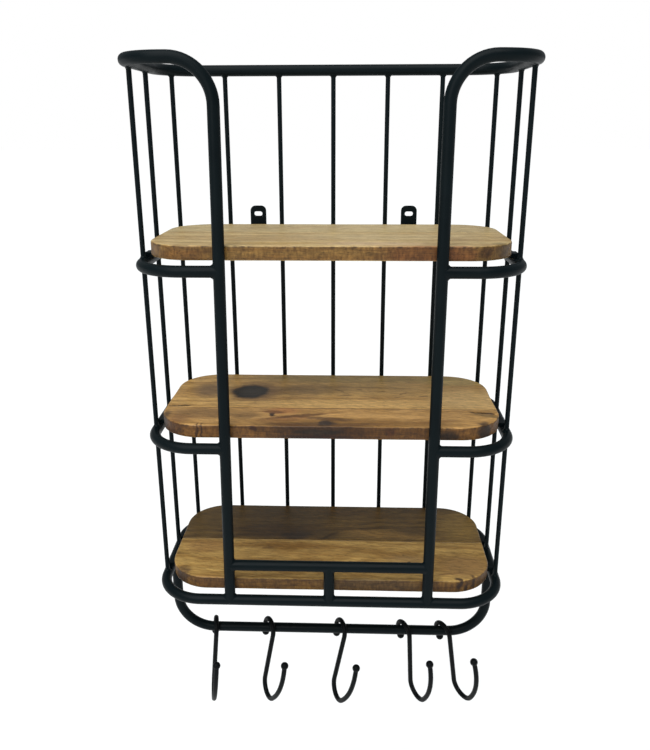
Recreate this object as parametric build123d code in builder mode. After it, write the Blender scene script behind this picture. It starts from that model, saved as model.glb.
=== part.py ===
"""Wall rack: a cage of bent tube and thin rods with three wooden shelves and a rail of S-hooks.

Frame: the origin is midway between the two hanger slots, on the wall plane.
+X runs to the right, +Y runs into the wall and +Z runs up, so the front faces -Y.
"""
import os
from math import cos, radians, sin

from build123d import *

os.makedirs("parts", exist_ok=True)

# ---------------------------------------------------------------- driving dimensions, mm
outer_width = 536
outer_depth = 260
corner_radius = 65          # centreline radius of a ring's corners

tube_d = 16
tube_wall = 1.5
rod_d = 7
rod_pitch = 82              # along a ring's centreline
rods_each_side = 5          # either side of the rod in the middle of the back

upright_spacing = 294       # between the two front uprights
left_foot_out = 2.5         # the left upright is not quite plumb: its foot stands wide of its place,
left_head_in = 7            # and its head is nearer to the middle
upright_bend = 55           # bend at the top of an upright
hoop_corner = 57            # front corners of the top hoop

slot_above_upper_ring = 48  # the hanger slots, over the ring that carries their plates
upper_to_lower_ring = 252
lower_to_bottom_ring = 248
cage_height = 760           # bottom ring to top hoop, centre to centre
guard_height = 60           # guard rail over the bottom ring
hook_rail_drop = 140        # hook rail under the bottom ring
hook_rail_bend = 60

plate_width = 25
plate_thickness = 3
plate_corner = 8            # rounding of a plate's two top corners
plate_spacing = 240
slot_width = 7
slot_length = 13
slot_to_top = 12.5

shelf_width = 494
shelf_depth = 230
shelf_thickness = 20
shelf_corner = 62
shelf_edge = 2.5            # rounding of a shelf's long edges
shelf_back_gap = 6          # shelf to the centreline of the back rods

bearer_width = 20
bearer_thickness = 6
bearer_seat = 1             # how deep a bearer is let down over a ring's crown
front_bearer_y = -165
back_bearer_y = -84

screw_d = 3.5
screw_head_d = 7.5
screw_head_height = 2.4
screw_length = 16
screw_hole_d = 4.5
screw_x = 170

wire_d = 8                  # S-hook bar
ball_d = 12.5
loop_radius = 17.5          # centreline of the loop that goes over the rail
loop_end_angle = 50         # how far the loop's tail runs on below the level of its centre
loop_sag = 3.8              # loop centre under the rail's axis
stem_angle = 4              # the stem slants back this much as it goes down
stem_length = 90.5
hook_bowl_radius = 21.5
hook_bowl_turn = 143        # how far the bowl turns before it opens out into the nose
hook_nose_radius = 110
hook_nose_turn = 50

# ---------------------------------------------------------------- places worked out from them
tube_r = tube_d / 2
half_width = outer_width / 2 - tube_r
back_y = -tube_r
front_y = -outer_depth + tube_r
mid_y = (front_y + back_y) / 2
upright_x = upright_spacing / 2
left_foot_x = -upright_x - left_foot_out
left_head_x = -upright_x + left_head_in

upper_ring_z = -slot_above_upper_ring
lower_ring_z = upper_ring_z - upper_to_lower_ring
bottom_ring_z = lower_ring_z - lower_to_bottom_ring
top_hoop_z = bottom_ring_z + cage_height
guard_z = bottom_ring_z + guard_height
hook_rail_z = bottom_ring_z - hook_rail_drop

bearer_lift = tube_r - bearer_seat
shelf_lift = bearer_lift + bearer_thickness
shelf_back_y = back_y - shelf_back_gap
shelf_front_y = shelf_back_y - shelf_depth

# One entry for each shelf: its name, the level of its ring and its glue line's distance from the back edge.
shelves = [
    ("top_shelf", upper_ring_z, 98),
    ("middle_shelf", lower_ring_z, 158),
    ("bottom_shelf", bottom_ring_z, 117),
]

# One entry for each hook: its place along the rail, its turn about the vertical (degrees, nose towards +X)
# and its lean (degrees, bowl towards +X).
hooks = [
    (-199, 11, -5),
    (-106.5, 28, -8.5),
    (16.5, 24, -9),
    (124.5, 30, 5),
    (191, 34, 10),
]


def save(piece, name):
    """Label a finished piece and write it as its own STEP file."""
    piece.label = name
    export_step(piece, f"parts/{name}.step")


# ---------------------------------------------------------------- tubes
def swept_bar(path, radius, bore_radius=0):
    """A round bar, or a tube when it has a bore, swept along a path from the path's start."""
    with BuildPart() as bar:
        with BuildSketch(Plane(origin=path @ 0, z_dir=path % 0)):
            Circle(radius)
            if bore_radius:
                Circle(bore_radius, mode=Mode.SUBTRACT)
        sweep(path=path)
    return bar.part


def straight_bar(start, end, radius, bore_radius=0):
    with BuildLine() as run:
        Line(start, end)
    return swept_bar(run.line, radius, bore_radius)


def closed_ring_path(z):
    """Centreline of a closed ring."""
    with BuildLine() as ring:
        FilletPolyline(
            (-half_width, back_y, z),
            (half_width, back_y, z),
            (half_width, front_y, z),
            (-half_width, front_y, z),
            radius=corner_radius,
            close=True,
        )
    return ring.wire()


def left_upright_x(z):
    """Where the left upright's centreline stands at height z."""
    return left_foot_x + (left_head_x - left_foot_x) * (z - bottom_ring_z) / cage_height


def open_ring_path(z):
    """Centreline of a ring that stops at the two uprights and leaves the front open."""
    with BuildLine() as ring:
        FilletPolyline(
            (left_upright_x(z), front_y, z),
            (-half_width, front_y, z),
            (-half_width, back_y, z),
            (half_width, back_y, z),
            (half_width, front_y, z),
            (upright_x, front_y, z),
            radius=corner_radius,
        )
    return ring.wire()


def hoop_path():
    """Both uprights and the top hoop, as one bent length."""
    with BuildLine() as hoop:
        FilletPolyline(
            (left_foot_x, front_y, bottom_ring_z),
            (left_head_x, front_y, top_hoop_z),
            (-half_width, front_y, top_hoop_z),
            (-half_width, back_y, top_hoop_z),
            (half_width, back_y, top_hoop_z),
            (half_width, front_y, top_hoop_z),
            (upright_x, front_y, top_hoop_z),
            (upright_x, front_y, bottom_ring_z),
            radius=[upright_bend, hoop_corner, corner_radius, corner_radius, hoop_corner, upright_bend],
        )
    return hoop.wire()


def hook_rail_path():
    with BuildLine() as rail:
        FilletPolyline(
            (-half_width, mid_y, bottom_ring_z),
            (-half_width, mid_y, hook_rail_z),
            (half_width, mid_y, hook_rail_z),
            (half_width, mid_y, bottom_ring_z),
            radius=hook_rail_bend,
        )
    return rail.wire()


def rod_places():
    """Rod centres, left to right, at equal steps along a ring from the middle of its back."""
    with BuildLine() as half:
        FilletPolyline(
            (0, back_y),
            (half_width, back_y),
            (half_width, front_y),
            radius=corner_radius,
        )
    right_side = half.wire()
    places = []
    for step in range(-rods_each_side, rods_each_side + 1):
        point = right_side.position_at(abs(step) * rod_pitch, position_mode=PositionMode.LENGTH)
        x = point.X if step >= 0 else -point.X
        places.append((x, point.Y))
    return places


bore_r = tube_r - tube_wall
places = rod_places()

# Solid copies of the outer shapes, used to cope the tubes that are welded onto them.
bottom_ring_outer = swept_bar(closed_ring_path(bottom_ring_z), tube_r)
bottom_front_outer = straight_bar(
    (corner_radius - half_width, front_y, bottom_ring_z),
    (half_width - corner_radius, front_y, bottom_ring_z),
    tube_r,
)
top_hoop_outer = swept_bar(hoop_path(), tube_r)
rod_cutters = [straight_bar((x, y, bottom_ring_z), (x, y, top_hoop_z), rod_d / 2) for x, y in places]

with BuildPart() as bottom_ring:
    add(swept_bar(closed_ring_path(bottom_ring_z), tube_r, bore_r))
save(bottom_ring.part, "bottom_ring")

with BuildPart() as uprights_and_top_hoop:
    add(swept_bar(hoop_path(), tube_r, bore_r))
    add(bottom_front_outer, mode=Mode.SUBTRACT)
save(uprights_and_top_hoop.part, "uprights_and_top_hoop")

for name, z in [("upper_middle_ring", upper_ring_z), ("lower_middle_ring", lower_ring_z)]:
    with BuildPart() as ring:
        add(swept_bar(open_ring_path(z), tube_r, bore_r))
        add(top_hoop_outer, mode=Mode.SUBTRACT)
        for cutter in rod_cutters:
            add(cutter, mode=Mode.SUBTRACT)
    save(ring.part, name)

guard_left = (left_upright_x(guard_z), front_y, guard_z)
guard_right = (upright_x, front_y, guard_z)
with BuildPart() as guard_rail:
    add(straight_bar(guard_left, guard_right, tube_r, bore_r))
    add(top_hoop_outer, mode=Mode.SUBTRACT)
save(guard_rail.part, "guard_rail")

guard_rail_outer = straight_bar(guard_left, guard_right, tube_r)
with BuildPart() as guard_post:
    add(straight_bar((0, front_y, bottom_ring_z), (0, front_y, guard_z), tube_r, bore_r))
    add(bottom_ring_outer, mode=Mode.SUBTRACT)
    add(guard_rail_outer, mode=Mode.SUBTRACT)
save(guard_post.part, "guard_post")

with BuildPart() as hook_rail:
    add(swept_bar(hook_rail_path(), tube_r, bore_r))
    add(bottom_ring_outer, mode=Mode.SUBTRACT)
save(hook_rail.part, "hook_rail")

# ---------------------------------------------------------------- rods
for number, (x, y) in enumerate(places, start=1):
    with BuildPart() as rod:
        add(straight_bar((x, y, bottom_ring_z), (x, y, top_hoop_z), rod_d / 2))
        add(bottom_ring_outer, mode=Mode.SUBTRACT)
        add(top_hoop_outer, mode=Mode.SUBTRACT)
    save(rod.part, f"rod_{number}")

# ---------------------------------------------------------------- hanger plates
upper_ring_outer = swept_bar(open_ring_path(upper_ring_z), tube_r)
for name, x in [("hanger_plate_left", -plate_spacing / 2), ("hanger_plate_right", plate_spacing / 2)]:
    plate_top = slot_to_top
    with BuildPart() as plate:
        with BuildSketch(Plane.XZ):
            with Locations((x, (plate_top + upper_ring_z) / 2)):
                Rectangle(plate_width, plate_top - upper_ring_z)
            top_corners = vertices().sort_by(Axis.Y)[-2:]
            fillet(top_corners, radius=plate_corner)
            with Locations((x, 0)):
                SlotOverall(slot_length, slot_width, mode=Mode.SUBTRACT)
        extrude(amount=plate_thickness)
        add(upper_ring_outer, mode=Mode.SUBTRACT)
    save(plate.part, name)

# ---------------------------------------------------------------- bearers, boards and screws
for name, ring_z, glue_line in shelves:
    ring_outer = swept_bar(closed_ring_path(ring_z), tube_r)
    bearer_z = ring_z + bearer_lift
    board_z = ring_z + shelf_lift
    shelf_screws = [(x, y) for y in (front_bearer_y, back_bearer_y) for x in (-screw_x, screw_x)]

    for end, y in [("front", front_bearer_y), ("back", back_bearer_y)]:
        with BuildPart() as bearer:
            with BuildSketch(Plane.XY.offset(bearer_z)):
                with Locations((0, y)):
                    Rectangle(2 * half_width, bearer_width)
                with Locations((-screw_x, y), (screw_x, y)):
                    Circle(screw_hole_d / 2, mode=Mode.SUBTRACT)
            extrude(amount=bearer_thickness)
            add(ring_outer, mode=Mode.SUBTRACT)
        save(bearer.part, f"{name}_{end}_bearer")

    with BuildPart() as shelf:
        with BuildSketch(Plane.XY.offset(board_z)):
            with Locations((0, (shelf_front_y + shelf_back_y) / 2)):
                RectangleRounded(shelf_width, shelf_depth, shelf_corner)
        extrude(amount=shelf_thickness)
        rims = edges().filter_by(Plane.XY)
        fillet(rims, radius=shelf_edge)
        with BuildSketch(Plane.XY.offset(board_z)):
            with Locations(*shelf_screws):
                Circle(screw_d / 2)
        extrude(amount=screw_length - bearer_thickness, mode=Mode.SUBTRACT)

    seam = Plane(origin=(0, shelf_back_y - glue_line, 0), z_dir=(0, 1, 0))
    for board_name, side in [("back_board", Keep.TOP), ("front_board", Keep.BOTTOM)]:
        with BuildPart() as board:
            add(shelf.part)
            split(bisect_by=seam, keep=side)
        save(board.part, f"{name}_{board_name}")

    with BuildPart() as screws:
        with BuildSketch(Plane.XY.offset(bearer_z)):
            with Locations(*shelf_screws):
                Circle(screw_d / 2)
        extrude(amount=screw_length)
        with BuildSketch(Plane.XY.offset(bearer_z)):
            with Locations(*shelf_screws):
                Circle(screw_head_d / 2)
        extrude(amount=-screw_head_height)
        crowns = faces().sort_by(Axis.Z)[: len(shelf_screws)]
        fillet(crowns.edges(), radius=screw_head_height * 0.4)
    save(screws.part, f"{name}_screws")


# ---------------------------------------------------------------- S-hooks
def hook_path():
    """Centreline of an S-hook in the XZ plane, with the rail's axis at the origin and +X to its front.

    It starts at the tail of the loop behind the rail, goes over the rail and down its front,
    and then down the stem and round the bowl to the nose, which opens out in a wide arc.
    """
    loop_centre = Vector(0, 0, -loop_sag)
    tail_angle = radians(loop_end_angle)
    tail = loop_centre - Vector(cos(tail_angle), 0, sin(tail_angle)) * loop_radius
    crown = loop_centre + Vector(0, 0, loop_radius)
    outward = Vector(cos(radians(stem_angle)), 0, -sin(radians(stem_angle)))
    loop_foot = loop_centre + outward * loop_radius
    bowl_start = loop_foot + outward.rotate(Axis.Y, 90) * stem_length
    bowl_centre = bowl_start + outward * hook_bowl_radius
    bowl_middle = bowl_centre - outward.rotate(Axis.Y, -hook_bowl_turn / 2) * hook_bowl_radius
    bowl_out = outward.rotate(Axis.Y, -hook_bowl_turn)
    bowl_end = bowl_centre - bowl_out * hook_bowl_radius
    nose_centre = bowl_end + bowl_out * hook_nose_radius
    nose_middle = nose_centre - bowl_out.rotate(Axis.Y, -hook_nose_turn / 2) * hook_nose_radius
    nose = nose_centre - bowl_out.rotate(Axis.Y, -hook_nose_turn) * hook_nose_radius
    with BuildLine() as path:
        ThreePointArc(tail, crown, loop_foot)
        Line(loop_foot, bowl_start)
        ThreePointArc(bowl_start, bowl_middle, bowl_end)
        ThreePointArc(bowl_end, nose_middle, nose)
    return path.wire()


path = hook_path()
with BuildPart() as hook_shape:
    add(swept_bar(path, wire_d / 2))
    with Locations(path @ 0, path @ 1):
        Sphere(ball_d / 2)

for number, (x, turn, lean) in enumerate(hooks, start=1):
    with BuildPart() as hook:
        # The path's +X becomes the front, -Y, then the hook turns and leans where it hangs.
        add(Location((x, mid_y, hook_rail_z)) * Rot(0, -lean, 0) * Rot(0, 0, turn - 90) * hook_shape.part)
    save(hook.part, f"s_hook_{number}")
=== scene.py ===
# %% [markdown]
# # A wall rack: bent black tube, mango-wood shelves and S-hooks
#
# The rack hangs on a wall. A cage of bent steel tube and thin rods carries three thick wooden
# shelves, and five S-hooks swing from a rail underneath. The steel was drawn exactly in CAD, so
# it is loaded here as a fixed frame, and this lesson adds what CAD leaves out: sawn and worn
# boards, weld beads, finishes, light and a camera. Lengths are in metres, and
# `MM` turns millimetres into them.

# %% Load the CAD frame
import math

import bmesh
import bpy
from mathutils import Matrix, Vector, noise


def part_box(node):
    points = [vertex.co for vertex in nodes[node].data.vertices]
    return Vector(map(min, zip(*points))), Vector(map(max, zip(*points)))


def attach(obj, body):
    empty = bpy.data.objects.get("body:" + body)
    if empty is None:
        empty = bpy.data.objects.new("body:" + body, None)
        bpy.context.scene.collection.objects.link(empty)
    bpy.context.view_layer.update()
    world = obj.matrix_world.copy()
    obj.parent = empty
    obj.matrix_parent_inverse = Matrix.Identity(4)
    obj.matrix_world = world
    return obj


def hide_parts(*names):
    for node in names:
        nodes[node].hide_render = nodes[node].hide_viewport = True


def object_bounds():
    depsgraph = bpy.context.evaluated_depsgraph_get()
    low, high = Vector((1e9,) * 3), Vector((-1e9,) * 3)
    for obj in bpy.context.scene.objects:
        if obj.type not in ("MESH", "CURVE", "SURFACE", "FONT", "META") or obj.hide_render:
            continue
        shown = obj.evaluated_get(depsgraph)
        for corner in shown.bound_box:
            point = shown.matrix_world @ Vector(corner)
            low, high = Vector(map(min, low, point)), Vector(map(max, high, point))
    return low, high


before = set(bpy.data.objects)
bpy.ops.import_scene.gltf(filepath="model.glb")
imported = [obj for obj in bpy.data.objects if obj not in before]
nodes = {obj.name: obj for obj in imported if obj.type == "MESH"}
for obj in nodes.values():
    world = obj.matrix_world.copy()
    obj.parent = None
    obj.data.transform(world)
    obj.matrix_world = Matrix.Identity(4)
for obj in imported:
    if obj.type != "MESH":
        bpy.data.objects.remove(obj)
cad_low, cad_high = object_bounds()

MM = 0.001
print("CAD box, mm:", [round((high - low) / MM) for low, high in zip(cad_low, cad_high)])

# %% [markdown]
# ## The camera
#
# A rack this tall is seen from about its own height: the eye is a little over a metre in front,
# level with the top shelf, and tips down. A 36 mm lens on a 36 mm sensor is close enough for the
# uprights to converge towards the hooks. The three angles are turned one after another, so they
# can be read as a person would say them: turn, tip, then roll.

# %% Camera
camera_data = bpy.data.cameras.new("camera")
camera_data.sensor_width = 36
camera_data.lens = 35.97
camera = bpy.data.objects.new("camera", camera_data)
bpy.context.scene.collection.objects.link(camera)
bpy.context.scene.camera = camera

camera_turn = math.radians(2.05)
camera_tip = math.radians(18.29)
camera_roll = math.radians(-0.15)
camera.matrix_world = (
    Matrix.Translation((29.5 * MM, -1217.9 * MM, 130.8 * MM))
    @ Matrix.Rotation(camera_turn, 4, "Z")
    @ Matrix.Rotation(math.radians(90) - camera_tip, 4, "X")
    @ Matrix.Rotation(camera_roll, 4, "Z")
)
print("camera at", [round(value, 3) for value in camera.location])

# %% [markdown]
# ## A floor and soft light
#
# The rack hangs in a pale, evenly lit room. A sun lamp with a very wide disc works as a big soft
# box: it lights the floor evenly and its shadows have no hard edge. The world gives the fill.
# What a satin black tube shows is mostly what it reflects, so the world is dim for reflections
# and bright only where it is seen directly, behind the rack.

# %% Floor
FLOOR_DROP = 0.75
FLOOR_HALF_WIDTH = 60  # far enough out for its edge to vanish into the backdrop

floor_mesh = bpy.data.meshes.new("floor")
floor = bpy.data.objects.new("floor", floor_mesh)
bpy.context.scene.collection.objects.link(floor)
sheet = bmesh.new()
bmesh.ops.create_grid(sheet, x_segments=4, y_segments=4, size=FLOOR_HALF_WIDTH)
bmesh.ops.translate(sheet, vec=(0, 0, cad_low.z - FLOOR_DROP), verts=sheet.verts)
sheet.to_mesh(floor_mesh)
sheet.free()
print("floor at", round(cad_low.z - FLOOR_DROP, 3))


# %% Colours and nodes
def linear(code):
    """An sRGB hex colour as the linear RGBA that Blender's sockets take."""
    channels = [int(code[i : i + 2], 16) / 255 for i in (0, 2, 4)]
    return [c / 12.92 if c <= 0.04045 else ((c + 0.055) / 1.055) ** 2.4 for c in channels] + [1.0]


def add_node(tree, kind, feeds=None, **settings):
    """Add a node with its settings.

    feeds gives its inputs by name, or by number where two share a name. Each one is a value, or a
    socket or a node to link from.
    """
    made = tree.nodes.new(kind)
    for name, value in settings.items():
        setattr(made, name, value)
    for name, value in (feeds or {}).items():
        if isinstance(name, int):
            socket = made.inputs[name]
        else:
            socket = next(s for s in made.inputs if s.enabled and s.name == name)
        if isinstance(value, bpy.types.Node):
            value = next(s for s in value.outputs if s.enabled)
        if isinstance(value, bpy.types.NodeSocket):
            tree.links.new(value, socket)
        else:
            socket.default_value = value
    return made


def new_material(name):
    """An empty material and its node tree."""
    material = bpy.data.materials.new(name)
    material.use_nodes = True
    material.node_tree.nodes.clear()
    return material, material.node_tree


print("powder black is linear", [round(c, 4) for c in linear("15191B")])

# %% Floor paint: matt and nearly white, with a faint cloudiness so that it isn't one flat tone
pale_floor, tree = new_material("pale matt floor paint")
place = add_node(tree, "ShaderNodeTexCoord").outputs["Object"]
cloud = add_node(tree, "ShaderNodeTexNoise", {"Vector": place, "Scale": 1.5, "Detail": 3.0})
tone = add_node(
    tree,
    "ShaderNodeMix",
    {"Factor": cloud.outputs["Fac"], "A": linear("FBFBFA"), "B": linear("FEFEFD")},
    data_type="RGBA",
)
shader = add_node(tree, "ShaderNodeBsdfPrincipled", {"Base Color": tone, "Roughness": 0.9})
add_node(tree, "ShaderNodeOutputMaterial", {"Surface": shader})
floor_mesh.materials.append(pale_floor)

# %% World and lamps
FILL = 0.40
BACKDROP = 1.0

world = bpy.data.worlds.new("studio")
bpy.context.scene.world = world
world.use_nodes = True
tree = world.node_tree
tree.nodes.clear()
ray = add_node(tree, "ShaderNodeLightPath")
fill = add_node(tree, "ShaderNodeBackground", {"Color": linear("EEF4F8"), "Strength": FILL})
backdrop = add_node(tree, "ShaderNodeBackground", {"Color": linear("FFFFFF"), "Strength": BACKDROP})
seen = add_node(
    tree, "ShaderNodeMixShader", {"Fac": ray.outputs["Is Camera Ray"], 1: fill, 2: backdrop}
)
add_node(tree, "ShaderNodeOutputWorld", {"Surface": seen})


def add_sun(name, toward, strength, spread):
    """A sun lamp that shines from the direction toward, with a disc spread degrees wide."""
    data = bpy.data.lights.new(name, "SUN")
    data.energy = strength
    data.angle = math.radians(spread)
    lamp = bpy.data.objects.new(name, data)
    bpy.context.scene.collection.objects.link(lamp)
    lamp.rotation_euler = Vector(toward).to_track_quat("Z", "Y").to_euler()
    return lamp


def add_panel(name, place, target, size, power):
    """A square soft box at place that faces target."""
    data = bpy.data.lights.new(name, "AREA")
    data.shape = "SQUARE"
    data.size = size
    data.energy = power
    lamp = bpy.data.objects.new(name, data)
    bpy.context.scene.collection.objects.link(lamp)
    lamp.location = place
    lamp.rotation_euler = (Vector(place) - Vector(target)).to_track_quat("Z", "Y").to_euler()
    return lamp


add_sun("overhead soft box", (-0.15, -0.45, 1.0), 2.62, 60)
add_panel("front panel", (-0.9, -2.0, 0.9), (0, -0.1, -0.3), 1.2, 16)
bpy.context.scene.view_settings.view_transform = "Standard"

# %% [markdown]
# ## Powder-coated steel
#
# The cage was welded up bare and then powder-coated: dry paint is baked on, and it flows into a
# skin that isn't quite level. The eye sees a near-black with a slight blue-green cast, broad soft
# highlights, and an orange-peel texture about a millimetre across. The roughness wanders a
# little, as it does where the powder lay thicker.


# %% Powder coat and hook paint
def black_coat(name, colour, dusty, roughness, peel_mm):
    """Satin black paint over steel: orange peel in the bump, and a soft wander of tone and gloss."""
    material, tree = new_material(name)
    place = add_node(tree, "ShaderNodeTexCoord").outputs["Object"]
    wander = add_node(tree, "ShaderNodeTexNoise", {"Vector": place, "Scale": 1 / (35 * MM), "Detail": 4.0})
    specks = add_node(tree, "ShaderNodeTexNoise", {"Vector": place, "Scale": 1 / (3 * MM), "Detail": 2.0})
    speck_share = add_node(
        tree,
        "ShaderNodeMapRange",
        {"Value": specks.outputs["Fac"], "From Min": 0.62, "From Max": 0.8, "To Max": 0.5},
    )
    tone_share = add_node(
        tree, "ShaderNodeMath", {0: wander.outputs["Fac"], 1: speck_share}, operation="MAXIMUM"
    )
    tone = add_node(
        tree,
        "ShaderNodeMix",
        {"Factor": tone_share, "A": linear(colour), "B": linear(dusty)},
        data_type="RGBA",
    )
    gloss = add_node(
        tree,
        "ShaderNodeMapRange",
        {
            "Value": wander.outputs["Fac"],
            "From Min": 0.3,
            "From Max": 0.7,
            "To Min": roughness - 0.05,
            "To Max": roughness + 0.07,
        },
    )
    peel = add_node(
        tree, "ShaderNodeTexNoise", {"Vector": place, "Scale": 1 / (peel_mm * MM), "Detail": 1.0}
    )
    bump = add_node(
        tree,
        "ShaderNodeBump",
        {"Height": peel.outputs["Fac"], "Strength": 0.35, "Distance": 0.08 * MM},
    )
    shader = add_node(
        tree,
        "ShaderNodeBsdfPrincipled",
        {"Base Color": tone, "Roughness": gloss, "Normal": bump, "Specular IOR Level": 0.08},
    )
    add_node(tree, "ShaderNodeOutputMaterial", {"Surface": shader})
    return material


powder_coat = black_coat("black powder-coated steel", "030A0D", "091417", 0.42, 1.4)
hook_paint = black_coat("black painted wire", "040709", "090D0F", 0.48, 1.0)

# %% [markdown]
# ## Zinc-plated screws
#
# Small screws hold the boards from below. Bright zinc is a thin grey metal skin with a faint
# blue and yellow passivation bloom, which is a slow colour change over a millimetre or two.

# %% Zinc plate
zinc_plate, tree = new_material("bright zinc-plated steel")
place = add_node(tree, "ShaderNodeTexCoord").outputs["Object"]
bloom = add_node(tree, "ShaderNodeTexNoise", {"Vector": place, "Scale": 1 / (2.5 * MM), "Detail": 2.0})
tone = add_node(
    tree,
    "ShaderNodeMix",
    {"Factor": bloom.outputs["Fac"], "A": linear("AEB6C0"), "B": linear("C9C3AE")},
    data_type="RGBA",
)
rub = add_node(
    tree, "ShaderNodeMapRange", {"Value": bloom.outputs["Fac"], "To Min": 0.22, "To Max": 0.45}
)
shader = add_node(
    tree, "ShaderNodeBsdfPrincipled", {"Base Color": tone, "Metallic": 1.0, "Roughness": rub}
)
add_node(tree, "ShaderNodeOutputMaterial", {"Surface": shader})

# %% Paint the CAD nodes
for name, node in nodes.items():
    if name.startswith("s_hook"):
        finish = hook_paint
    elif name.endswith("screws"):
        finish = zinc_plate
    else:
        finish = powder_coat
    for place_on_node in node.material_slots:
        place_on_node.material = finish
print("painted", len(nodes), "nodes")

# %% [markdown]
# ## Mango wood
#
# Mango boards are sawn from small orchard trees, so one board shows pale sapwood, brown heart,
# knots and dark stains side by side. Five things make it read as wood: rings round a pith that
# runs nearly along the board, long fibres, short dark pores, flecks, and a blotchy figure across
# them. The sawn rim also has upright saw marks.
# Each is a noise stretched to its real size. The marks that belong to one board, such as a knot,
# are soft ragged ellipsoids, each with a centre, a size and a colour.

# %% One mark on a board


def add_mark(tree, ragged_place, below, mark, top):
    """Lay one mark over the colour below. Returns the node with the new colour."""
    (x, y, z), (length, width, depth), turn, colour, strength, softness = mark
    inside = add_node(
        tree,
        "ShaderNodeMapping",
        {
            "Vector": ragged_place,
            "Location": (x * MM, y * MM, top + z * MM),
            "Rotation": (0, 0, math.radians(turn)),
            "Scale": (length / 2 * MM, width / 2 * MM, depth / 2 * MM),
        },
        vector_type="TEXTURE",
    )
    reach = add_node(tree, "ShaderNodeVectorMath", {0: inside}, operation="LENGTH")
    share = add_node(
        tree,
        "ShaderNodeMapRange",
        {
            "Value": reach.outputs["Value"],
            "From Min": 1 + softness,
            "From Max": 1 - softness,
            "To Max": strength,
        },
        interpolation_type="SMOOTHSTEP",
    )
    return add_node(
        tree, "ShaderNodeMix", {"Factor": share, "A": below, "B": linear(colour)}, data_type="RGBA"
    )


# %% The wood itself
FIBRE = (110 * MM, 1.3 * MM, 1.3 * MM)
PORE = (7 * MM, 0.9 * MM, 0.9 * MM)
FLECK = (20 * MM, 4 * MM, 7 * MM)
SAW = (3.2 * MM, 3.2 * MM, 9 * MM)
FIGURE = (55 * MM, 13 * MM, 25 * MM)
RING = 6 * MM


def stretched_noise(tree, place, size, turn=0.0, detail=3.0):
    """Noise whose blobs have the given size along X, Y and Z."""
    mapped = add_node(
        tree,
        "ShaderNodeMapping",
        {"Vector": place, "Rotation": (0, 0, math.radians(turn)), "Scale": size},
        vector_type="TEXTURE",
    )
    return add_node(tree, "ShaderNodeTexNoise", {"Vector": mapped, "Scale": 1.0, "Detail": detail})


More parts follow.
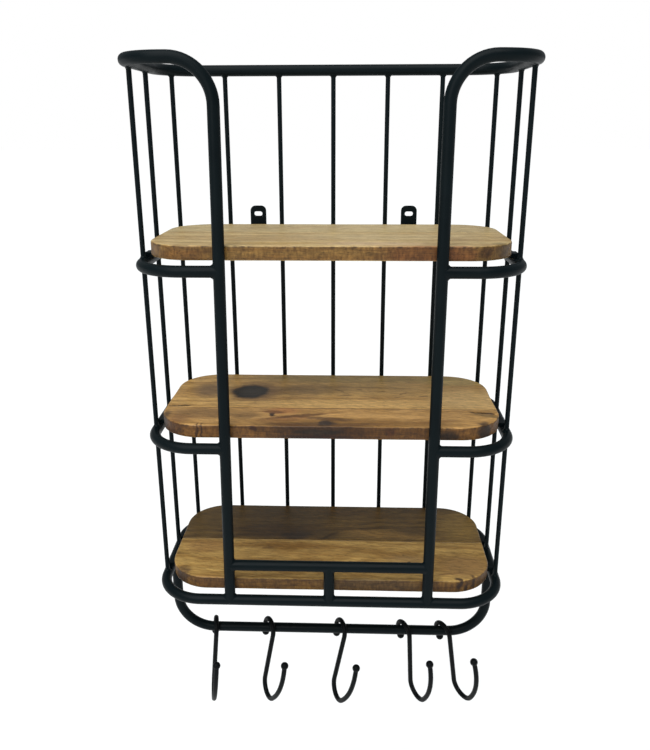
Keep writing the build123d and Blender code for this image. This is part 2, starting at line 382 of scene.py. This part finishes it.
def mango_wood(name, pale, dark, pith, lean, top, marks, edge_tone, edge_share, fuzz):
    """Oiled mango wood for one board. pith is where the rings' centre runs, lean its slope in degrees."""
    material, tree = new_material(name)
    coordinates = add_node(tree, "ShaderNodeTexCoord")
    place = coordinates.outputs["Object"]

    drift = stretched_noise(tree, place, (160 * MM, 45 * MM, 45 * MM), detail=2.0)
    drift_centred = add_node(
        tree,
        "ShaderNodeVectorMath",
        {0: drift.outputs["Color"], 1: (0, 16 * MM, 16 * MM), 2: (0, -8 * MM, -8 * MM)},
        operation="MULTIPLY_ADD",
    )
    wavy = add_node(tree, "ShaderNodeVectorMath", {0: place, 1: drift_centred}, operation="ADD")

    from_pith = add_node(
        tree,
        "ShaderNodeMapping",
        {
            "Vector": wavy,
            "Location": (0, pith[0] * MM, top + pith[1] * MM),
            "Rotation": (0, 0, math.radians(lean)),
            "Scale": (40, 1, 1),
        },
        vector_type="TEXTURE",
    )
    radius = add_node(tree, "ShaderNodeVectorMath", {0: from_pith}, operation="LENGTH")
    rings = add_node(
        tree,
        "ShaderNodeTexNoise",
        {"W": radius.outputs["Value"], "Scale": 1 / RING, "Detail": 2.0},
        noise_dimensions="1D",
    )
    figure = stretched_noise(tree, wavy, FIGURE, turn=18)
    fibres = stretched_noise(tree, wavy, FIBRE)
    pores = stretched_noise(tree, wavy, PORE, detail=1.0)
    flecks = stretched_noise(tree, wavy, FLECK, turn=-14, detail=5.0)
    saw_marks = stretched_noise(tree, place, SAW, detail=4.0)

    blend = add_node(
        tree,
        "ShaderNodeMix",
        {"Factor": 0.5, "A": rings.outputs["Fac"], "B": figure.outputs["Fac"]},
        data_type="FLOAT",
    )
    share = add_node(
        tree,
        "ShaderNodeMapRange",
        {"Value": blend, "From Min": 0.36, "From Max": 0.66},
        interpolation_type="SMOOTHSTEP",
    )
    colour = add_node(
        tree,
        "ShaderNodeMix",
        {"Factor": share, "A": linear(pale), "B": linear(dark)},
        data_type="RGBA",
    )

    rough_noise = add_node(
        tree, "ShaderNodeTexNoise", {"Vector": place, "Scale": 1 / (13 * MM), "Detail": 4.0}
    )
    rough_offset = add_node(
        tree,
        "ShaderNodeVectorMath",
        {
            0: rough_noise.outputs["Color"],
            1: (16 * MM, 9 * MM, 6 * MM),
            2: (-8 * MM, -4.5 * MM, -3 * MM),
        },
        operation="MULTIPLY_ADD",
    )
    ragged = add_node(tree, "ShaderNodeVectorMath", {0: place, 1: rough_offset}, operation="ADD")
    for mark in marks:
        colour = add_mark(tree, ragged, colour, mark, top)

    # Fibres and flecks lighten and darken the wood, and pores darken it where they open.
    fibre_tone = add_node(
        tree,
        "ShaderNodeMapRange",
        {"Value": fibres.outputs["Fac"], "From Min": 0.3, "From Max": 0.7, "To Min": 0.74, "To Max": 1.20},
    )
    pore_share = add_node(
        tree,
        "ShaderNodeMapRange",
        {"Value": pores.outputs["Fac"], "From Min": 0.58, "From Max": 0.70, "To Min": 1.0, "To Max": 0.52},
    )
    fleck_tone = add_node(
        tree,
        "ShaderNodeMapRange",
        {"Value": flecks.outputs["Fac"], "From Min": 0.32, "From Max": 0.68, "To Min": 0.78, "To Max": 1.2},
    )
    figured = add_node(tree, "ShaderNodeMath", {0: fibre_tone, 1: fleck_tone}, operation="MULTIPLY")
    fine = add_node(tree, "ShaderNodeMath", {0: figured, 1: pore_share}, operation="MULTIPLY")
    toned = add_node(tree, "ShaderNodeVectorMath", {0: colour, "Scale": fine}, operation="SCALE")

    # The sawn rim is browner than the sanded faces, and darkest in torn fibres just under its top arris.
    facing = add_node(tree, "ShaderNodeSeparateXYZ", {"Vector": coordinates.outputs["Normal"]})
    upward = add_node(tree, "ShaderNodeMath", {0: facing.outputs["Z"]}, operation="ABSOLUTE")
    rim = add_node(
        tree,
        "ShaderNodeMapRange",
        {"Value": upward, "From Min": 0.75, "From Max": 0.25, "To Max": edge_share},
    )
    rimmed = add_node(
        tree,
        "ShaderNodeMix",
        {"Factor": rim, "A": toned, "B": linear(edge_tone)},
        data_type="RGBA",
        blend_type="MULTIPLY",
    )
    saw_tone = add_node(
        tree,
        "ShaderNodeMapRange",
        {"Value": saw_marks.outputs["Fac"], "From Min": 0.35, "From Max": 0.65, "To Min": 0.0, "To Max": 0.6},
    )
    saw_share = add_node(tree, "ShaderNodeMath", {0: saw_tone, 1: rim}, operation="MULTIPLY")
    rimmed = add_node(
        tree,
        "ShaderNodeMix",
        {"Factor": saw_share, "A": rimmed, "B": linear("8C7A5C")},
        data_type="RGBA",
        blend_type="MULTIPLY",
    )
    height = add_node(tree, "ShaderNodeSeparateXYZ", {"Vector": place})
    band = add_node(
        tree,
        "ShaderNodeMapRange",
        {
            "Value": height.outputs["Z"],
            "From Min": top - 6 * MM,
            "From Max": top - 1.5 * MM,
        },
        interpolation_type="SMOOTHSTEP",
    )
    torn = add_node(
        tree, "ShaderNodeTexNoise", {"Vector": place, "Scale": 1 / (9 * MM), "Detail": 5.0}
    )
    torn_share = add_node(
        tree,
        "ShaderNodeMapRange",
        {"Value": torn.outputs["Fac"], "From Min": 0.5, "From Max": 0.62, "To Max": fuzz},
    )
    banded = add_node(tree, "ShaderNodeMath", {0: band, 1: torn_share}, operation="MULTIPLY")
    rim_only = add_node(
        tree, "ShaderNodeMapRange", {"Value": upward, "From Min": 0.85, "From Max": 0.45}
    )
    on_rim = add_node(tree, "ShaderNodeMath", {0: banded, 1: rim_only}, operation="MULTIPLY")
    finished = add_node(
        tree,
        "ShaderNodeMix",
        {"Factor": on_rim, "A": rimmed, "B": linear("3A2614")},
        data_type="RGBA",
    )

    gloss = add_node(
        tree,
        "ShaderNodeMapRange",
        {"Value": fibres.outputs["Fac"], "From Min": 0.3, "From Max": 0.7, "To Min": 0.52, "To Max": 0.38},
    )
    grain_bump = add_node(
        tree,
        "ShaderNodeBump",
        {"Height": fine, "Strength": 0.6, "Distance": 0.22 * MM},
    )
    shader = add_node(
        tree,
        "ShaderNodeBsdfPrincipled",
        {"Base Color": finished, "Roughness": gloss, "Normal": grain_bump, "Specular IOR Level": 0.3},
    )
    add_node(tree, "ShaderNodeOutputMaterial", {"Surface": shader})
    print(name, "-", len(marks), "marks,", len(tree.nodes), "nodes")
    return material


# %% [markdown]
# ## Six boards
#
# Each shelf is two boards glued edge to edge. A board starts as a block, its outer corners and
# arrises are rounded, and cuts every few millimetres give it enough points to be worn:
# the sanded face is a little uneven, and the rim is nibbled where fibres tore out.

# %% Block to board
CORNER = 62 * MM
ARRIS = 2.5 * MM
CELL = 3 * MM


def board_block(low, high, seam_y):
    """A block with its two outer corners rounded and every arris eased except along the glue line."""
    bm = bmesh.new()
    bmesh.ops.create_cube(bm, size=1)
    bmesh.ops.scale(bm, vec=high - low, verts=bm.verts)
    bmesh.ops.translate(bm, vec=(low + high) / 2, verts=bm.verts)
    upright_edges = [
        e
        for e in bm.edges
        if abs(e.verts[0].co.z - e.verts[1].co.z) > MM and abs(e.verts[0].co.y - seam_y) > MM
    ]
    bmesh.ops.bevel(
        bm,
        geom=upright_edges,
        offset=CORNER,
        segments=24,
        profile=0.5,
        affect="EDGES",
        material=-1,
    )
    rim_edges = [
        e
        for e in bm.edges
        if abs(e.verts[0].co.z - e.verts[1].co.z) < MM / 10
        and max(abs(v.co.y - seam_y) for v in e.verts) > MM / 10
    ]
    bmesh.ops.bevel(
        bm,
        geom=rim_edges,
        offset=ARRIS,
        segments=3,
        profile=0.5,
        affect="EDGES",
        material=-1,
    )
    return bm


def slice_block(bm, low, high):
    """Cut the block into cells along X, Y and Z."""
    for axis, cell in ((0, CELL), (1, CELL), (2, CELL)):
        steps = int((high[axis] - low[axis]) / cell)
        normal = Vector([1.0 if i == axis else 0.0 for i in range(3)])
        for step in range(1, steps):
            point = low.copy()
            point[axis] += (high[axis] - low[axis]) * step / steps
            bmesh.ops.bisect_plane(
                bm,
                geom=bm.verts[:] + bm.edges[:] + bm.faces[:],
                dist=1e-6,
                plane_co=point,
                plane_no=normal,
            )


def wear(bm, low, high, seam_y, seed, tear):
    """Uneven sanding on the faces, and a nibbled rim. Points on the glue line keep their Y."""
    bm.normal_update()
    offset = Vector((seed * 3.1, seed * 1.7, seed * 0.9))
    moves = []
    for v in bm.verts:
        p = v.co
        slow = noise.noise(Vector((p.x / (45 * MM), p.y / (30 * MM), p.z / (30 * MM))) + offset)
        quick = noise.noise(Vector((p.x / (9 * MM), p.y / (6 * MM), p.z / (5 * MM))) + offset)
        side = 1 - abs(v.normal.z)
        push = v.normal * (slow * (0.12 + 0.55 * side) * MM)
        bite = max(0.0, quick - 0.28) * tear * side
        near_arris = 1 - min(1.0, abs(p.z - high.z) / (6 * MM))
        push -= v.normal * (bite * (0.35 + 0.65 * near_arris) * MM)
        if abs(p.y - seam_y) < MM / 10:
            push.y = 0
        moves.append(push)
    for v, push in zip(bm.verts, moves):
        v.co += push


def finish_piece(bm, name, finish, body="rack"):
    """Turn a bmesh into a smooth-shaded piece that rides on a body."""
    mesh = bpy.data.meshes.new(name)
    for face in bm.faces:
        face.smooth = True
    bm.to_mesh(mesh)
    bm.free()
    mesh.materials.append(finish)
    piece = bpy.data.objects.new(name, mesh)
    bpy.context.scene.collection.objects.link(piece)
    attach(piece, body)
    return piece


def open_split(bm, start, end, width, depth, top):
    """Open a V-shaped drying split from start to end, widest at its start."""
    a = Vector((start[0] * MM, start[1] * MM, top))
    b = Vector((end[0] * MM, end[1] * MM, top))
    along = (b - a).normalized()
    across = Vector((-along.y, along.x, 0))
    length = (b - a).length
    for shift in (-width / 2, 0, width / 2):
        near = [
            f
            for f in bm.faces
            if f.calc_center_median().z > top - 8 * MM
            and -8 * MM < (f.calc_center_median() - a).dot(along) < length + 4 * MM
            and abs((f.calc_center_median() - a).dot(across)) < 6 * MM
        ]
        parts = set(near)
        for f in near:
            parts.update(f.edges)
            parts.update(f.verts)
        bmesh.ops.bisect_plane(
            bm, geom=list(parts), dist=1e-6, plane_co=a + across * shift * MM, plane_no=across
        )
    for v in bm.verts:
        t = (v.co - a).dot(along) / length
        off = abs((v.co - a).dot(across))
        if t < 1 and t > -0.4 and off < width / 2 * MM * 0.9 and v.co.z > top - 7 * MM:
            v.co.z -= depth * MM * min(1.0, 1 - t)


def make_board(node_name, finish, seed, tear, splits=()):
    """One worn board in the place of its CAD node."""
    low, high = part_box(node_name)
    front = node_name.endswith("front_board")
    seam_y = high.y if front else low.y
    bm = board_block(low, high, seam_y)
    slice_block(bm, low, high)
    for start, end, width, depth in splits:
        open_split(bm, start, end, width, depth, high.z)
    wear(bm, low, high, seam_y, seed, tear)
    bmesh.ops.recalc_face_normals(bm, faces=bm.faces)
    faces = len(bm.faces)
    piece = finish_piece(bm, node_name + "_worn", finish)
    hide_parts(node_name)
    print(piece.name, faces, "faces")
    return piece


# %% [markdown]
# ### What each board looks like
#
# The top shelf is pale and even. The middle one has the big dark knot, a second brown stain
# beside it, small drying checks darkened with painted shade, and bark along its front rim. The
# bottom one joins a dark heartwood board at the back to a golden one in front. A mark is centre,
# size, turn, colour, strength and softness, in millimetres and degrees, with its height measured from the top
# face.

# %% Top shelf
THROUGH = 400
top_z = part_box("top_shelf_front_board")[1].z
top_back = mango_wood(
    "oiled mango wood, pale back board",
    "BDA877",
    "A98F61",
    (-60, -95),
    2,
    top_z,
    [
        ((-110, -60, 0), (90, 70, THROUGH), 0, "A0895F", 0.5, 0.6),
        ((70, -50, 0), (260, 60, THROUGH), 0, "BBA77C", 0.5, 0.7),
        ((-106, -62, 0), (10, 40, 12), 90, "7D6A42", 0.35, 0.7),
    ],
    "B8A078",
    0.8,
    0.5,
)
top_front = mango_wood(
    "oiled mango wood, pale front board",
    "C0A671",
    "A88A58",
    (-175, -80),
    -2,
    top_z,
    [
        ((-85, -222, 0), (150, 26, THROUGH), 0, "B3904F", 0.6, 0.5),
        ((60, -224, 0), (130, 30, THROUGH), 0, "C6A988", 0.5, 0.6),
        ((60, -160, 0), (240, 60, THROUGH), 0, "B9A67C", 0.5, 0.7),
        ((120, -246, -12), (100, 16, 34), 0, "94643F", 0.75, 0.35),
        ((172, -246, -12), (40, 16, 34), 0, "A16C4C", 0.6, 0.35),
        ((203, -236, -10), (20, 24, 18), 30, "5A3F20", 0.8, 0.5),
        ((226, -222, -8), (30, 26, 22), 40, "6B5A33", 0.75, 0.5),
        ((-195, -240, -14), (70, 20, 20), 0, "A47A45", 0.6, 0.5),
    ],
    "AC9468",
    0.95,
    0.9,
)
make_board("top_shelf_back_board", top_back, 1, 1.5)
make_board("top_shelf_front_board", top_front, 2, 3.0)

# %% Middle shelf
middle_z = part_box("middle_shelf_front_board")[1].z
middle_back = mango_wood(
    "oiled mango wood, knotty back board",
    "CBA25F",
    "AE8548",
    (-90, -70),
    3,
    middle_z,
    [
        ((30, -32, 0), (300, 50, THROUGH), 0, "A58C56", 0.8, 0.5),
        ((200, -42, 0), (110, 46, THROUGH), 0, "B09B60", 0.6, 0.4),
        ((70, -80, 0), (170, 60, THROUGH), 0, "B4935A", 0.6, 0.6),
        ((-30, -90, 0), (110, 46, THROUGH), 5, "8C7044", 0.75, 0.6),
        ((-60, -95, 0), (70, 44, THROUGH), 0, "84683E", 0.6, 0.6),
        ((-192, -96, 0), (52, 62, THROUGH), 15, "6E5539", 0.8, 0.55),
        ((-123, -102, 0), (84, 84, THROUGH), -10, "7A5B38", 0.8, 0.35),
        ((-128, -102, 0), (56, 62, THROUGH), -12, "1A130C", 0.98, 0.2),
        ((-127, -100, 0), (40, 40, THROUGH), -12, "352C20", 0.8, 0.35),
        ((40, -155, 0), (360, 34, THROUGH), 0, "D6AE6C", 0.7, 0.6),
        ((210, -130, 0), (110, 90, THROUGH), 0, "D2AE72", 0.8, 0.5),
        ((18, -115, 0), (26, 3, THROUGH), 0, "5A4023", 0.7, 0.5),
        ((12, -93, 0), (20, 3, THROUGH), -50, "5A4023", 0.5, 0.5),
        ((45, -86, 0), (9, 5, THROUGH), 0, "5A4023", 0.5, 0.6),
        ((80, -97, 0), (12, 4, THROUGH), 20, "5F4526", 0.5, 0.6),
        ((68, -126, 0), (22, 4, THROUGH), 0, "5F4526", 0.55, 0.6),
        ((105, -122, 0), (18, 5, THROUGH), 20, "5A4023", 0.6, 0.5),
        ((112, -106, 0), (14, 5, THROUGH), 35, "5A4023", 0.55, 0.5),
        ((143, -117, 0), (12, 4, THROUGH), 10, "4E3519", 0.7, 0.5),
        ((-55, -130, 0), (50, 5, THROUGH), 5, "6A4C29", 0.5, 0.7),
        # Painted shade: this dark line lies in the drying split that left_split opens, and stands in for the
        # shade inside the crack.
        ((-230, -167, 0), (46, 4, 30), 2, "24170C", 0.95, 0.35),
        ((60, -78, 0), (150, 5, THROUGH), -4, "7A6034", 0.5, 0.7),
        ((-120, -142, 0), (80, 5, THROUGH), -3, "6A4C29", 0.45, 0.7),
    ],
    "A89470",
    0.8,
    0.4,
)
middle_front = mango_wood(
    "oiled mango wood, front board with bark",
    "C2975A",
    "A27A40",
    (-190, -60),
    -3,
    middle_z,
    [
        ((-190, -198, 0), (100, 40, THROUGH), 0, "7F6038", 0.8, 0.5),
        ((-122, -205, 0), (40, 26, THROUGH), 0, "7A5C36", 0.7, 0.6),
        ((20, -234, 0), (290, 36, THROUGH), 0, "75511F", 0.8, 0.5),
        ((-20, -240, 0), (130, 18, THROUGH), 0, "4A3118", 0.75, 0.6),
        ((-68, -184, 0), (44, 26, THROUGH), 0, "A86D3E", 0.6, 0.6),
        ((-60, -214, 0), (70, 22, THROUGH), 10, "7A4E2C", 0.6, 0.6),
        ((-84, -200, 0), (10, 14, THROUGH), 20, "2C1A15", 0.95, 0.4),
        ((-4, -232, 0), (26, 22, 20), 0, "32251C", 0.95, 0.3),
        ((-14, -246, -9), (74, 14, 9), 0, "3C3027", 0.92, 0.3),
        ((-20, -246, -17), (90, 14, 8), 0, "452717", 0.85, 0.5),
        ((-106, -246, -4), (12, 12, 8), 0, "4A2418", 0.9, 0.4),
        ((-187, -242, -10), (4, 16, 26), 0, "4B3017", 0.8, 0.4),
        ((-180, -243, -10), (3, 16, 26), 0, "4B3017", 0.8, 0.4),
        ((-222, -226, -8), (50, 40, 30), 40, "6A4526", 0.7, 0.5),
        ((-240, -205, -10), (16, 40, 30), 0, "3A2C22", 0.8, 0.5),
        ((168, -246, -13), (30, 14, 16), 0, "39291B", 0.85, 0.5),
        ((86, -246, -9), (14, 14, 12), 0, "6E4023", 0.7, 0.5),
        ((218, -231, -10), (22, 24, 30), 35, "3B2A1C", 0.9, 0.35),
        ((228, -196, 0), (44, 14, THROUGH), -25, "7C6238", 0.85, 0.25),
        ((60, -174, 0), (240, 3, THROUGH), 0, "8D6B3D", 0.5, 0.6),
        ((-45, -205, 0), (110, 9, THROUGH), 14, "553418", 0.75, 0.5),
        ((-84, -190, 0), (34, 12, THROUGH), -10, "6B4122", 0.75, 0.5),
        ((0, -216, 0), (70, 12, THROUGH), -8, "4B3018", 0.75, 0.5),
        ((46, -236, 0), (70, 9, 30), 6, "5E3F1F", 0.7, 0.5),
        ((-60, -238, 0), (60, 9, 24), -8, "5A3A1C", 0.65, 0.5),
        # Painted shade: this dark line lies in the drying split that right_split opens, and stands in for the
        # shade inside the crack.
        ((226, -187, 0), (44, 5, 30), -12, "33200F", 0.92, 0.35),
        ((150, -222, 0), (70, 8, THROUGH), 10, "8A6230", 0.6, 0.5),
    ],
    "9A8660",
    0.95,
    0.85,
)
left_split = ((-250, -166), (-212, -168), 3.0, 6.0)
make_board("middle_shelf_back_board", middle_back, 3, 1.5, [left_split])
right_split = ((243, -191), (205, -183), 4.0, 6.0)
make_board("middle_shelf_front_board", middle_front, 4, 4.0, [right_split])

# %% Bottom shelf
bottom_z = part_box("bottom_shelf_front_board")[1].z
bottom_back = mango_wood(
    "oiled mango wood, dark heartwood board",
    "6E5528",
    "4C3818",
    (-40, -60),
    4,
    bottom_z,
    [
        ((-110, -50, 0), (180, 90, THROUGH), 0, "4C3A1C", 0.75, 0.6),
        ((-90, -105, 0), (170, 50, THROUGH), 0, "3E2C14", 0.85, 0.6),
        ((-60, -118, 0), (50, 24, THROUGH), 0, "2F2318", 0.85, 0.5),
        ((-8, -112, 0), (34, 40, THROUGH), 60, "4A3A20", 0.7, 0.5),
        ((-4, -118, 0), (60, 7, THROUGH), 40, "33240F", 0.7, 0.5),
        ((-150, -96, 0), (80, 10, THROUGH), 14, "3A2A14", 0.6, 0.6),
        ((40, -40, 0), (190, 14, THROUGH), -6, "5E4622", 0.6, 0.6),
        ((100, -112, 0), (150, 22, THROUGH), -5, "8E6E39", 0.7, 0.6),
        ((215, -80, 0), (80, 90, THROUGH), 0, "8E7138", 0.75, 0.5),
        ((-222, -80, 0), (70, 90, THROUGH), 0, "57431F", 0.7, 0.5),
        ((140, -100, 0), (60, 30, THROUGH), 0, "574427", 0.6, 0.6),
    ],
    "80683E",
    0.8,
    0.4,
)
bottom_front = mango_wood(
    "oiled mango wood, golden front board",
    "B29050",
    "8E6C34",
    (-180, -90),
    -4,
    bottom_z,
    [
        ((-70, -152, 0), (90, 24, THROUGH), 0, "7A561C", 0.85, 0.6),
        ((-100, -156, 0), (22, 6, THROUGH), 15, "5E421D", 0.6, 0.6),
        ((-20, -176, 0), (150, 5, THROUGH), -4, "8A6630", 0.55, 0.6),
        ((60, -150, 0), (120, 5, THROUGH), 5, "8E6A32", 0.55, 0.6),
        ((190, -222, 0), (60, 6, THROUGH), 12, "6A4A24", 0.7, 0.5),
        ((-200, -155, 0), (70, 36, THROUGH), 0, "98733F", 0.7, 0.5),
        ((120, -186, 0), (60, 24, THROUGH), 0, "8C7047", 0.6, 0.6),
        ((210, -205, 0), (80, 60, THROUGH), 0, "8C6C40", 0.75, 0.5),
        ((125, -194, 0), (5, 4, THROUGH), 0, "2A1D10", 0.9, 0.4),
        ((-178, -244, -10), (70, 16, 30), 0, "94703C", 0.7, 0.4),
        ((-225, -225, -10), (26, 26, 30), 40, "4A3423", 0.8, 0.5),
        ((70, -246, -10), (150, 14, 24), 0, "7A6850", 0.7, 0.4),
        ((195, -240, -6), (10, 14, 24), 20, "33211A", 0.9, 0.35),
        ((206, -236, -12), (8, 14, 20), 20, "33211A", 0.9, 0.35),
        ((216, -230, -9), (8, 14, 22), 20, "40291C", 0.9, 0.35),
    ],
    "A08C66",
    0.95,
    0.6,
)
make_board("bottom_shelf_back_board", bottom_back, 5, 1.5)
make_board("bottom_shelf_front_board", bottom_front, 6, 3.0)

# %% [markdown]
# ## Weld beads
#
# Where a tube or a rod meets another tube, the welder leaves a small raised fillet round the joint.
# Each bead here is a short profile spun into a ring about the joining tube and then laid on the
# other tube's round surface, so it dips on both sides like a saddle. A slow ripple along it stands
# for the puddles of a weld, softened by the powder coat.

# %% A bead round a joint
TUBE = 8 * MM
ROD = 3.5 * MM


def bead(bm, place, out, along, radius, leg, onto=TUBE, seed=0):
    """Add a fillet at place, where a bar of this radius leaves a tube that runs along, in direction out."""
    out = Vector(out).normalized()
    along = Vector(along)
    along = (along - out * along.dot(out)).normalized()
    side = out.cross(along)
    profile = [
        (radius + leg, -0.3 * MM),
        (radius + 0.62 * leg, 0.12 * leg),
        (radius + 0.3 * leg, 0.38 * leg),
        (radius + 0.1 * leg, 0.72 * leg),
        (radius - 0.2 * MM, leg),
        (radius - 0.8 * MM, 0.3 * leg),
        (radius - 0.8 * MM, -0.8 * MM),
    ]
    ring = bmesh.new()
    verts = [ring.verts.new((rho, 0, lift)) for rho, lift in profile]
    for a, b in zip(verts, verts[1:] + verts[:1]):
        ring.edges.new((a, b))
    bmesh.ops.spin(
        ring,
        geom=ring.verts[:] + ring.edges[:],
        cent=(0, 0, 0),
        axis=(0, 0, 1),
        angle=math.tau,
        steps=32,
        use_merge=True,
    )
    bmesh.ops.remove_doubles(ring, verts=ring.verts, dist=1e-6)
    bmesh.ops.recalc_face_normals(ring, faces=ring.faces)
    for v in ring.verts:
        turn = math.atan2(v.co.y, v.co.x)
        rho = math.hypot(v.co.x, v.co.y)
        lift = v.co.z
        if rho > radius:
            ripple_place = (math.cos(turn) * 3, math.sin(turn) * 3, seed * 2.7 + rho / MM * 0.2)
            ripple = noise.noise(Vector(ripple_place))
            lift *= 1 + 0.35 * ripple
            rho += 0.5 * MM * ripple * (rho - radius) / leg
        across = min(rho, 0.97 * onto) * math.sin(turn)
        share = 0.4 + 0.6 * math.cos(turn) ** 2 if radius > 0.7 * onto else 1.0
        height = math.sqrt(onto * onto - across * across) + lift * share
        v.co = place + along * (rho * math.cos(turn)) + side * across + out * height
    ring_mesh = bpy.data.meshes.new("bead")
    ring.to_mesh(ring_mesh)
    ring.free()
    bm.from_mesh(ring_mesh)
    bpy.data.meshes.remove(ring_mesh)


# %% Where the tubes and rods run
def middle(name):
    """The middle of a node's box."""
    low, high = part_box(name)
    return (low + high) / 2


rods = [middle(name) for name in nodes if name.startswith("rod_")]
ring_low, ring_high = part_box("bottom_ring")
guard_low, guard_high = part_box("guard_rail")
hoop_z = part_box("uprights_and_top_hoop")[1].z - TUBE
upper_z = middle("upper_middle_ring").z
lower_z = middle("lower_middle_ring").z
foot_z = middle("bottom_ring").z
guard_z = middle("guard_rail").z
front_y = ring_low.y + TUBE
back_y = ring_high.y - TUBE
side_x = ring_high.x - TUBE
LEAN = 9.5 / 760  # how far the left upright leans for each unit of height
RING_CORNER = 65 * MM


def left_upright(z):
    """The left upright leans a little, so its place depends on the height."""
    return Vector((guard_low.x + (z - guard_z) * LEAN, front_y, z))


def right_upright(z):
    return Vector((guard_high.x, front_y, z))


def ring_direction(x, y):
    """Which way a ring's tube runs at a rod: X at the back, Y at the sides, between at a corner."""
    from_centre = Vector((abs(x) - (side_x - RING_CORNER), y - (back_y - RING_CORNER), 0))
    if from_centre.x <= 0:
        return Vector((1, 0, 0))
    if from_centre.y <= 0:
        return Vector((0, 1, 0))
    return Vector((-from_centre.y, math.copysign(from_centre.x, x), 0))


print(len(rods), "rods; rings at", [round(z / MM) for z in (hoop_z, upper_z, lower_z, foot_z)], "mm")


# %% Weld every joint
ROD_LEG = 2.4 * MM
TUBE_LEG = 3.5 * MM
GUARD_LEG = 3.2 * MM
POST_LEG = 3.0 * MM
UP = Vector((0, 0, 1))
RIGHT = Vector((1, 0, 0))
BACK = Vector((0, 1, 0))

beads = bmesh.new()
for seed, rod in enumerate(rods):
    along = ring_direction(rod.x, rod.y)
    for z, out in (
        (hoop_z, -UP),
        (upper_z, UP),
        (upper_z, -UP),
        (lower_z, UP),
        (lower_z, -UP),
        (foot_z, UP),
    ):
        bead(beads, Vector((rod.x, rod.y, z)), out, along, ROD, ROD_LEG, seed=seed + 20 * z)
for z in (upper_z, lower_z):
    bead(beads, left_upright(z), -RIGHT, UP, TUBE, TUBE_LEG, seed=1)
    bead(beads, right_upright(z), RIGHT, UP, TUBE, TUBE_LEG, seed=2)
bead(beads, left_upright(guard_z), RIGHT, UP, TUBE, GUARD_LEG, seed=3)
bead(beads, right_upright(guard_z), -RIGHT, UP, TUBE, GUARD_LEG, seed=4)
for foot in (left_upright(foot_z), right_upright(foot_z), Vector((0, front_y, foot_z))):
    bead(beads, foot, UP, RIGHT, TUBE, TUBE_LEG, seed=foot.x)
bead(beads, Vector((0, front_y, guard_z)), -UP, RIGHT, TUBE, POST_LEG, seed=5)
hook_rail_y = middle("hook_rail").y
for x in (-side_x, side_x):
    bead(beads, Vector((x, hook_rail_y, foot_z)), -UP, BACK, TUBE, TUBE_LEG, seed=x)
print(len(beads.faces), "faces of weld")
finish_piece(beads, "weld_beads", powder_coat)
